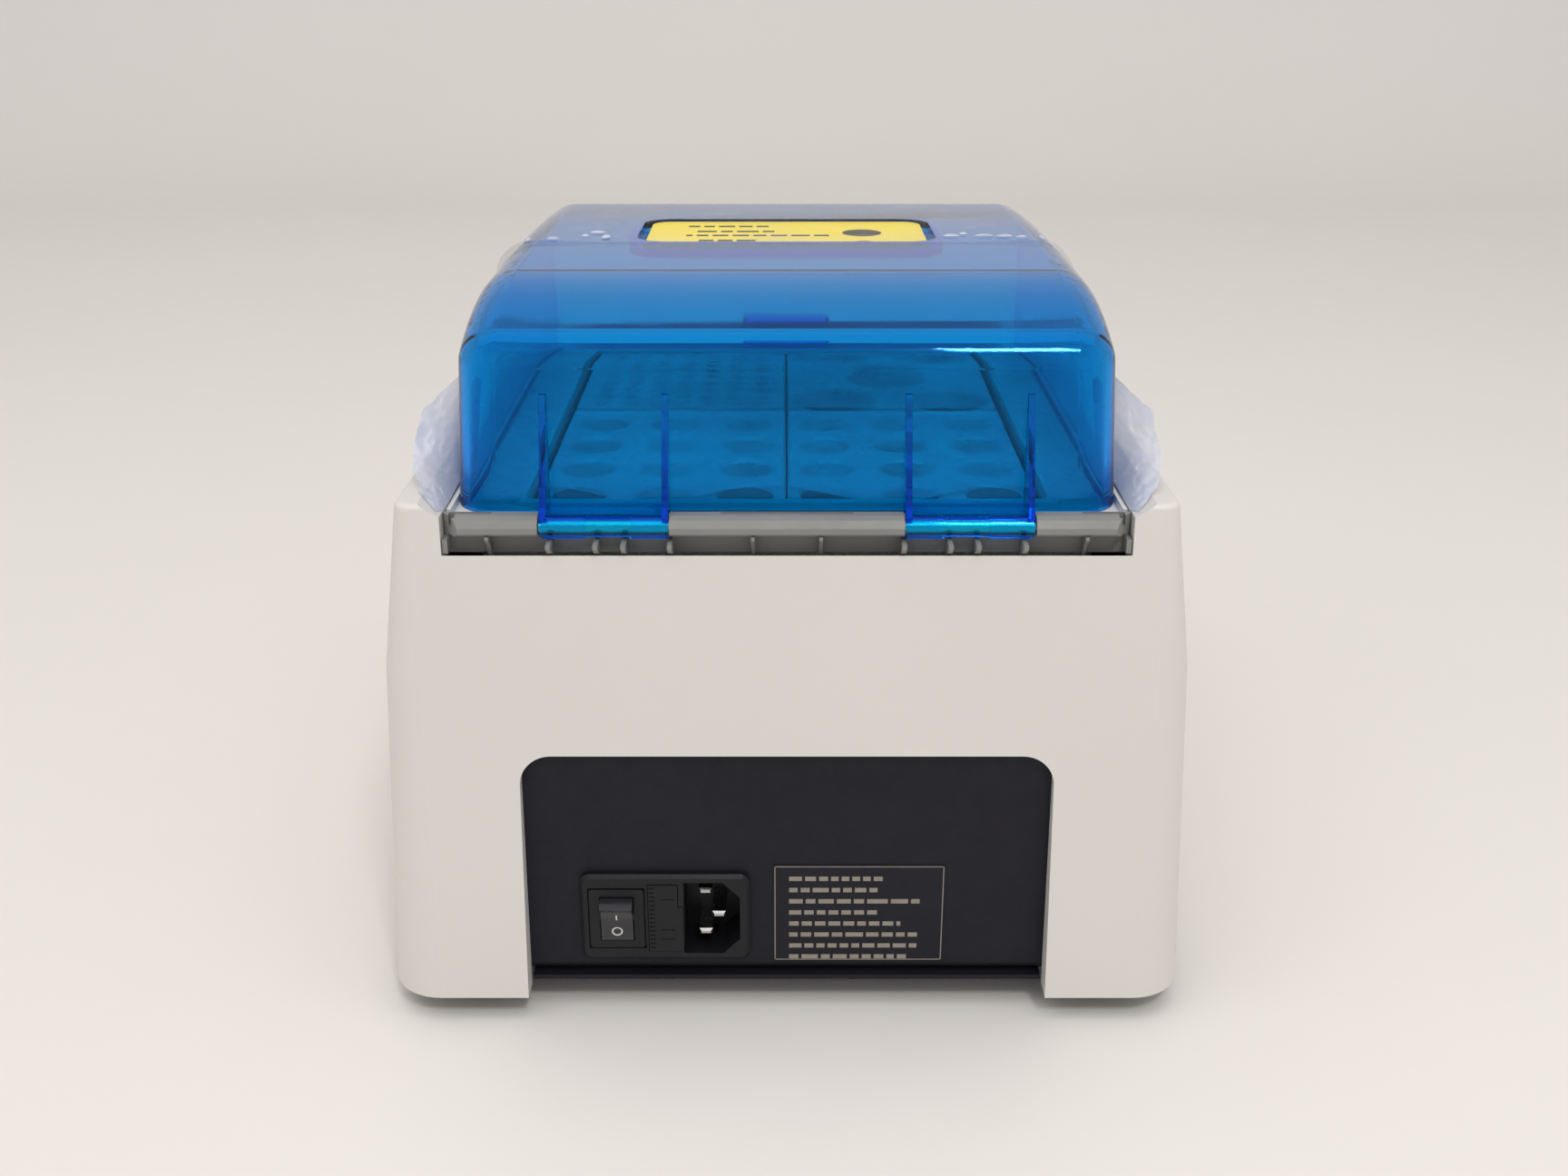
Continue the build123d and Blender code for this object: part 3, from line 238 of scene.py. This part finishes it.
bumper = surface("clear_silicone", (0.55, 0.57, 0.60), (0.3, 0.4), 0.05, 0.01, 0.0006, 0.00002)
yellow_label = surface("label_yellow", (0.86, 0.70, 0.045), (0.30, 0.42), 0.03, 0.02, 0.0006,
                       0.00002)
label_ink = surface("label_ink", (0.030, 0.026, 0.020), (0.35, 0.5), 0.10, 0.004, 0.0004, 0.00001)
plate_print = surface("plate_print", shade(NAVY, 1.05), (0.40, 0.55), 0.08, 0.02, 0.0005, 0.00003,
                      shine=0.22)
plate_ink = surface("plate_ink", (0.24, 0.215, 0.18), (0.45, 0.6), 0.10, 0.003, 0.0003, 0.00001)
white_ink = surface("white_ink", (0.62, 0.62, 0.60), (0.4, 0.55), 0.06, 0.003, 0.0003, 0.00001)

blue_clear = tinted_clear("blue_clear", (0.10, 0.93, 0.998), (0.04, 0.68, 0.994), 0.0025, (0.02, 0.05),
                          glint=(0.12, 0.50, 1.0))
window_clear = tinted_clear("window_clear", (0.92, 0.95, 0.97), (0.55, 0.60, 0.62), 0.002,
                            (0.01, 0.03), 1.49)
fuse_clear = tinted_clear("fuse_clear", (0.97, 0.98, 0.98), (0.93, 0.95, 0.94), 0.001,
                          (0.01, 0.03), 1.5)
film_clear = film("film_clear", (0.50, 0.55, 0.78), 0.10, 0.22, 0.00006)
film_faint = film("film_faint", (0.66, 0.67, 0.76), 0.03, 0.08, 0.00004)
film_edge = film("film_edge", (0.24, 0.27, 0.40), 0.55, 0.75, 0.00004)
film_bubble = film("film_bubble", (0.74, 0.77, 0.88), 0.45, 0.75, 0.00008)
film_inside = film("film_inside", (0.84, 0.85, 0.90), 0.30, 0.55, 0.00030)
film_haze = film("film_haze", (0.56, 0.60, 0.74), 0.42, 0.70)

DRESS = {
    white_abs: "upper_shell",
    navy_coat: "base_tray rear_panel",
    black_rubber: "rubber_feet",
    zinc_steel: "foot_screws foot_nuts housing_screws bracket_plate support_pillars "
                "board_standoffs fuse_caps",
    grey_abs: "hinge_rail",
    deck_abs: "deck_frame",
    stainless: "well_liner hinge_pin_left hinge_pin_right temperature_probe",
    milled: "hot_plate",
    silicone: "heater_mat",
    foam: "insulation_tray",
    component: "thermal_cutout board_capacitors triac key_switches",
    anodised: "block_rear_left block_rear_right block_front_left block_front_right",
    blue_clear: "lid_shell",
    yellow_label: "lid_label",
    bumper: "lid_bumpers",
    film_clear: "lid_film",
    film_haze: "transit_film",
    black_nylon: "inlet_body fuse_drawer rocker_frame",
    rocker_black: "rocker",
    tin: "inlet_pins",
    fuse_clear: "fuse_glass",
    plate_print: "rating_plate",
    panel_print: "control_panel",
    window_clear: "display_window",
    lcd_back: "lcd_module",
    board_green: "main_board display_board",
    relay_blue: "relay",
    terminal_green: "terminal_block",
    sink_black: "heat_sink",
    laminations: "transformer_core",
    coil_tape: "transformer_coil",
    wire_pvc: "mains_wires heater_wires sensor_lead",
    ribbon: "ribbon_cable",
    key_grey: "key_mode key_up key_set key_down",
    key_green: "key_start",
    key_red: "key_stop",
}
for dress, names in DRESS.items():
    for name in names.split():
        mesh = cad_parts[name].data
        mesh.materials.clear()
        mesh.materials.append(dress)


# ---------------------------------------------------------------- pieces made here
def skin(name):
    """A tree of the named node's faces, for finding points on its surface."""
    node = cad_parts[name]
    faces = bmesh.new()
    faces.from_mesh(node.data)
    faces.transform(node.matrix_world)
    tree = BVHTree.FromBMesh(faces)
    faces.free()
    return tree


def piece(name, points, faces, dress, body):
    """A mesh piece that rides on a body. dress is one material, or several where the faces are given
    as (corners, which material)."""
    several = isinstance(dress, list)
    mesh = bpy.data.meshes.new(name)
    mesh.from_pydata([tuple(p) for p in points], [], [f[0] if several else f for f in faces])
    for one in dress if several else [dress]:
        mesh.materials.append(one)
    for i, face in enumerate(mesh.polygons):
        face.use_smooth = True
        if several:
            face.material_index = faces[i][1]
    made = bpy.data.objects.new(name, mesh)
    bpy.context.collection.objects.link(made)
    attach(made, body)
    return made


def grid_faces(across, along):
    """Quads of a grid whose points run across first."""
    return [(j * across + i, j * across + i + 1, (j + 1) * across + i + 1, (j + 1) * across + i)
            for j in range(along - 1) for i in range(across - 1)]


def crumple(place, size, seed):
    """A crumpled sheet's height at a point, from -1 to 1, with sharp creases between flat facets."""
    p = Vector((place.x, place.y, place.z)) / size + Vector((seed * 7.3, seed * 3.1, seed * 1.7))
    broad = noise.noise(p)
    ridge = 1.0 - 2.0 * abs(noise.noise(p * 1.9))
    fine = 1.0 - 2.0 * abs(noise.noise(p * 4.3 + Vector((4.0, 1.0, 2.0))))
    return 0.5 * broad + 0.40 * ridge + 0.22 * fine - 0.2


def along_line(stops, t):
    """A point at share t of a line through evenly spaced stops."""
    spot = t * (len(stops) - 1)
    i = min(int(spot), len(stops) - 2)
    return Vector(stops[i]).lerp(Vector(stops[i + 1]), spot - i)


# Driving places of the pieces on the lid, in millimetres
LID_SKIN = skin("lid_shell")
POCKET_FRONT, POCKET_REAR, POCKET_HALF = -13.0, 42.0, 51.0
FILM_FRONT, FILM_REAR = -64.0, 43.2
FILM_REACH = 66.0                 # how far round each side the lid's film goes, in degrees
LABEL_TOP = 2.2                   # top of the label's plate above the pocket's floor
PRINT_LIFT = 0.00006              # how far printed marks stand off what they are on, in metres


def lid_surface(angle, y):
    """The lid's outside in the direction angle from upright, with the pocket bridged over."""
    middle = Vector((0, y * MM, 0.160))
    out = Vector((math.sin(angle), 0, math.cos(angle)))
    hit, normal, _, _ = LID_SKIN.ray_cast(middle + out * 0.2, -out)
    if POCKET_FRONT < y < POCKET_REAR and abs(hit.x) < POCKET_HALF * MM:
        above = Vector((POCKET_HALF * MM + 0.001, y * MM, 0.3))
        beside, normal, _, _ = LID_SKIN.ray_cast(above, Vector((0, 0, -1)))
        hit = Vector((hit.x, hit.y, beside.z))
    if normal.dot(out) < 0:
        normal = -normal
    return hit, normal


def lid_film():
    """The maker's protective film over the front of the lid's top, its near corners come away."""
    across, along = 121, 60
    loose_from, lift_from, lift_length = 0.74, 28.0, 15.0
    points = []
    for j in range(along):
        t = j / (along - 1)
        y = FILM_FRONT + (FILM_REAR - FILM_FRONT) * (1 - (1 - t) ** 1.6)
        for i in range(across):
            side = 2 * i / (across - 1) - 1
            near = max(0.0, (y - lift_from) / lift_length)
            wander = 0.35 * noise.noise(Vector((side * 6, 0.5, 0)))
            hit, normal = lid_surface(math.radians(FILM_REACH * side), y + near * wander)
            lift = 0.30 + 0.10 * noise.noise(hit / 0.012) + 0.12 * noise.noise(hit / 0.004)
            loose = max(0.0, abs(side) - loose_from) / 0.26
            lift += near * loose * (1.6 + 1.3 * noise.noise(Vector((side * 9, y * 0.12, 2))))
            points.append(hit + normal * lift * MM)
    faces = []
    for corners in grid_faces(across, along):
        # clearer over the label, and greyer along the cut edge
        spot = sum((points[c] for c in corners), Vector()) / 4
        over_label = abs(spot.x) < 0.0475 and -0.011 < spot.y < 0.0275
        last = corners[0] // across == along - 2
        faces.append((corners, 2 if last else 1 if over_label else 0))
    dresses = [film_clear, film_faint, film_edge]
    made = piece("lid_film_sheet", points, faces, dresses, "lid")
    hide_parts("lid_film")


def film_bubbles():
    """Bubbles caught under the protective film, each a low dome."""
    # middle and half size of each bubble, in millimetres
    places = [(58, 24, 2.6, 1.2), (54.5, 33, 1.4, 3.4), (61, 31, 1.0, 1.0), (-50, 31, 3.0, 1.0),
              (-54, 27, 1.2, 1.0), (-60, 30.5, 3.2, 0.8), (-66, 31, 2.6, 1.5), (-71, 33, 1.8, 0.9),
              (-79, 29, 1.6, 2.2), (-82, 35, 2.2, 1.2), (79, 34, 1.2, 1.8), (83, 30, 1.0, 2.4),
              (70, 37, 2.0, 0.7)]
    crown_height = 48.0
    turn = 14
    points, faces = [], []
    for x, y, half_x, half_y in places:
        start = len(points)
        for ring, height in ((1.0, 0.42), (0.6, 0.85), (0.0, 1.0)):
            for k in range(turn if ring else 1):
                a = 2 * math.pi * k / turn
                wobble = 1 + 0.25 * noise.noise(Vector((x, y, 1.5 * math.cos(a))))
                px = x + half_x * ring * wobble * math.cos(a)
                py = y + half_y * ring * wobble * math.sin(a)
                hit, normal = lid_surface(math.atan2(px, crown_height), py)
                points.append(hit + normal * height * MM)
        for k in range(turn):
            after = (k + 1) % turn
            faces.append((start + k, start + after, start + turn + after, start + turn + k))
            faces.append((start + turn + k, start + turn + after, start + 2 * turn))
    piece("film_bubbles", points, faces, film_bubble, "lid")


# The edges of the packing film's wing, from its top corner round to the rear, in millimetres
WING_FOOT = ((92.5, 97, 181.5), (92.7, 103, 172), (92.8, 109, 163.5), (92.9, 116, 157.8),
             (93.0, 124, 156.6), (93.0, 132, 156.4), (93.2, 140, 156.2))
WING_TIP = ((94.4, 99, 183.0), (103.4, 111, 175.6), (104.6, 120, 167.8), (103.4, 127, 163.2),
            (100.2, 137, 160.9), (96.6, 141.5, 158.2), (94.6, 143.5, 156.9))


def packing_wings():
    """Crumpled packing film that stands out between the lid and the housing on each side."""
    across, along = 26, 64
    for side, name in ((1, "packing_wing_left"), (-1, "packing_wing_right")):
        points = []
        for j in range(along):
            t = j / (along - 1)
            foot, tip = along_line(WING_FOOT, t), along_line(WING_TIP, t)
            ragged = 1 + 0.05 * noise.noise(Vector((t * 9, side * 3.0, 0)))
            for i in range(across):
                share = i / (across - 1)
                spot = foot.lerp(tip, share * ragged)
                spot.z += 2.2 * math.sin(math.pi * share) * math.sin(math.pi * t)
                loose = min(1.0, share * 3) * min(1.0, 6 * t * (1 - t) + 0.15)
                swell = crumple(spot, 7.5, 2 + side) * loose * 1.9
                spot += Vector((0.35, 0.55, 0.75)) * swell
                # it lies on the rim's bevel and on its flat top, never inside them
                bevel = 156.0 + max(0.0, spot.x - 93.5) * 0.72
                spot.z = max(spot.z, bevel, 160.2 if spot.x > 99 else 0)
                points.append(Vector((side * spot.x, spot.y, spot.z)) * MM)
        faces = grid_faces(across, along)
        made = piece(name, points, faces, film_haze, "root")
        if side > 0:
            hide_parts("transit_film")


def block_films():
    """Thin packing film lying over each block, its rear edge falling in waves on the rear two."""
    across, along = 48, 60
    margin, wave_depth = 0.0008, 0.0145
    for name, rear in (("block_rear_left", True), ("block_rear_right", True),
                       ("block_front_left", False), ("block_front_right", False)):
        low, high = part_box(name)
        points = []
        for j in range(along):
            for i in range(across):
                u, v = i / (across - 1), j / (along - 1)
                x = low[0] + margin + (high[0] - low[0] - 2 * margin) * u
                wave = 0.5 + 0.5 * math.sin(x * 92.0 + 1.1) if rear else 0.9
                end = high[1] - margin - wave_depth * wave * (1 if rear else 0.1)
                y = low[1] + margin + (end - low[1] - margin) * v
                fold = 1.0 + 0.9 * crumple(Vector((x, y, 0)), 0.016, 5)
                z = high[2] + 0.0004 + 0.0007 * max(0.0, fold)
                points.append(Vector((x, y, z)))
        faces = grid_faces(across, along)
        made = piece(name + "_film", points, faces, film_inside, name)


def deck_films():
    """Packing film lying on the deck beside the blocks, inside the lid."""
    across, along = 12, 90
    inner, width, front, length, height = 74.6, 13.4, -70.0, 196.0, 154.4
    for side, name in ((1, "deck_film_left"), (-1, "deck_film_right")):
        points = []
        for j in range(along):
            for i in range(across):
                x = side * (inner + width * i / (across - 1))
                y = front + length * j / (along - 1)
                fold = crumple(Vector((x, y, 0)), 11.0, 8)
                points.append(Vector((x, y, height + 0.9 * fold)) * MM)
        made = piece(name, points, grid_faces(across, along), film_inside, "root")


def printed(name, shapes, dress, body):
    """Flat printed marks, each a list of points round its outline in metres."""
    points, faces = [], []
    for outline in shapes:
        start = len(points)
        points += [Vector(p) for p in outline]
        faces.append(tuple(range(start, len(points))))
    return piece(name, points, faces, dress, body)


def label_plate():
    """The yellow label on a raised plate, which fills most of the pocket in the lid."""
    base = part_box("lid_label")[0][2] / MM
    floor, top = base + 0.05, base + LABEL_TOP
    half_x, front, rear, corner = 45.5, -10.4, 39.4, 6.0
    left, low, high = half_x - corner, front + corner, rear - corner
    steps = 8
    outline = []
    for x, y, start in ((left, high, 0), (-left, high, 90), (-left, low, 180), (left, low, 270)):
        for k in range(steps + 1):
            a = math.radians(start + 90 * k / steps)
            outline.append((x + corner * math.cos(a), y + corner * math.sin(a)))
    count = len(outline)
    points = [(x * MM, y * MM, z * MM) for z in (floor, top) for x, y in outline]
    faces = [tuple(range(count))[::-1], tuple(range(count, 2 * count))]
    faces += [(k, (k + 1) % count, count + (k + 1) % count, count + k) for k in range(count)]
    made = piece("label_plate", points, faces, yellow_label, "lid")
    for face in made.data.polygons:
        face.use_smooth = False
    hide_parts("lid_label")


def label_marks():
    """Plain bars and two plain round marks in place of the label's words and signs."""
    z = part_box("lid_label")[0][2] + (LABEL_TOP + 0.05) * MM
    tall, space = 2.6, 1.4
    bars = []
    for y, start, end in ((8.0, 4, 33), (15.5, -14, 33), (25.0, 10, 30), (-2.0, 6, 33)):
        x = start
        while x < end - 2:
            width = min(3.5 + 5.5 * abs(noise.noise(Vector((x * 0.37, y, 0)))), end - x)
            bars.append([(px * MM, py * MM, z) for px, py in
                         ((x, y), (x + width, y), (x + width, y + tall), (x, y + tall))])
            x += width + space
    turn = 28
    for x, y, radius in ((-25.0, 12.0, 6.5), (-25.0, 31.0, 4.0)):
        angles = [2 * math.pi * k / turn for k in range(turn)]
        bars.append([((x + radius * math.cos(a)) * MM, (y + radius * math.sin(a)) * MM, z) for a in angles])
    printed("label_marks", bars, label_ink, "lid")


def plate_marks():
    """The rating plate's thin frame line and plain bars in place of its rows of print."""
    low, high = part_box("rating_plate")
    y = high[1] + PRINT_LIFT
    marks = []

    def bar(x0, x1, z0, z1):
        corners = ((x0, z0), (x0, z1), (x1, z1), (x1, z0))
        marks.append([(x * MM, y, z * MM) for x, z in corners])

    margin, line = 0.4, 0.28
    left, right = high[0] / MM - margin, low[0] / MM + margin
    bottom, top = low[2] / MM + margin, high[2] / MM - margin
    bar(right, left, top - line, top)
    bar(right, left, bottom, bottom + line)
    bar(right, right + line, bottom, top)
    bar(left - line, left, bottom, top)
    first_row, row_pitch, indent, half_tall = 4.2, 3.85, 4.3, 0.75
    for row, width in enumerate((29.0, 26.0, 38.5, 26.0, 33.0, 39.0, 38.0, 36.5)):
        z = top - first_row - row_pitch * row
        x = left - indent
        end = x - width
        while x > end + 1.0:
            word = min(2.2 + 5.0 * abs(noise.noise(Vector((x * 0.31, row * 2.7, 0)))), x - end)
            bar(x - word, x, z - half_tall, z + half_tall)
            x -= word + 0.9
    printed("plate_marks", marks, plate_ink, "root")


def rocker_marks():
    """The on and off marks, laid on the rocker's curved face."""
    face = skin("rocker")
    low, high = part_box("rocker")
    x, z = (low[0] + high[0]) / 2, (low[2] + high[2]) / 2
    turn, steps = 28, 5
    points, faces = [], []

    def put(px, pz):
        hit, _, _, _ = face.ray_cast(Vector((px, 0.2, pz)), Vector((0, -1, 0)))
        points.append(hit + Vector((0, 0.00008, 0)))

    for k in range(turn):
        a = 2 * math.pi * k / turn
        for radius in (0.00145, 0.00108):
            put(x + 1.12 * radius * math.cos(a), z - 0.0040 + radius * math.sin(a))
    for k in range(turn):
        after = (k + 1) % turn
        faces.append((2 * k, 2 * after, 2 * after + 1, 2 * k + 1))
    start = len(points)
    for k in range(steps):
        for dx in (-0.00022, 0.00022):
            put(x + dx, z + 0.0002 + 0.0022 * k / (steps - 1))
    for first in range(start, start + 2 * (steps - 1), 2):
        faces.append((first, first + 1, first + 3, first + 2))
    piece("rocker_marks", points, faces, white_ink, "power_rocker")


lid_film()
film_bubbles()
packing_wings()
block_films()
deck_films()
label_plate()
label_marks()
plate_marks()
rocker_marks()


# ---------------------------------------------------------------- camera, floor and light
def camera():
    data = bpy.data.cameras.new("camera")
    data.lens, data.sensor_width = CAMERA_LENS, 36.0
    made = bpy.data.objects.new("camera", data)
    made.location = CAMERA_PLACE
    made.rotation_euler = (math.radians(90 - CAMERA_TILT), 0, math.pi)
    bpy.context.collection.objects.link(made)
    bpy.context.scene.camera = made


def area_light(name, place, towards, size, power, colour=(1, 1, 1), mirrored=True):
    data = bpy.data.lights.new(name, "AREA")
    data.shape, data.size, data.size_y = "RECTANGLE", *size
    data.energy, data.color = power, colour
    made = bpy.data.objects.new(name, data)
    made.location = place
    made.visible_glossy = mirrored
    made.rotation_euler = (Vector(towards) - Vector(place)).to_track_quat("-Z", "Y").to_euler()
    bpy.context.collection.objects.link(made)


def studio():
    """A pale floor that curves up into a pale wall behind the object, a bright room and two lamps."""
    half_width, near, wall, height, bend = 6.0, 6.0, -1.9, 5.0, 0.5
    outline = [(near, 0.0), (wall + bend, 0.0)]
    outline += [(wall + bend - bend * math.sin(math.radians(a)), bend - bend * math.cos(math.radians(a)))
                for a in range(10, 91, 10)]
    outline.append((wall, height))
    points = [(x, y, z) for y, z in outline for x in (-half_width, half_width)]
    faces = [(2 * i, 2 * i + 1, 2 * i + 3, 2 * i + 2) for i in range(len(outline) - 1)]
    mesh = bpy.data.meshes.new("floor")
    mesh.from_pydata(points, [], faces)
    paint = surface("floor_paint", (0.74, 0.715, 0.69), (0.45, 0.6), 0.01, 0.4, 0.002, 0.00003)
    mesh.materials.append(paint)
    for face in mesh.polygons:
        face.use_smooth = True
    made = bpy.data.objects.new("floor", mesh)
    bpy.context.collection.objects.link(made)

    world = bpy.data.worlds.new("room")
    world.use_nodes = True
    background = world.node_tree.nodes["Background"]
    background.inputs["Color"].default_value = (1.0, 0.985, 0.965, 1)
    background.inputs["Strength"].default_value = 0.78
    bpy.context.scene.world = world
    area_light("ceiling", (0.15, 0.35, 1.6), (0, 0.05, 0.1), (1.8, 1.8), 11, (1.0, 0.97, 0.935),
               mirrored=False)
    area_light("lamp", (-0.273, 1.15, 1.35), (-0.05, 0.13, 0.2), (0.16, 0.22), 6)
    bpy.context.scene.view_settings.view_transform = "Standard"


camera()
studio()
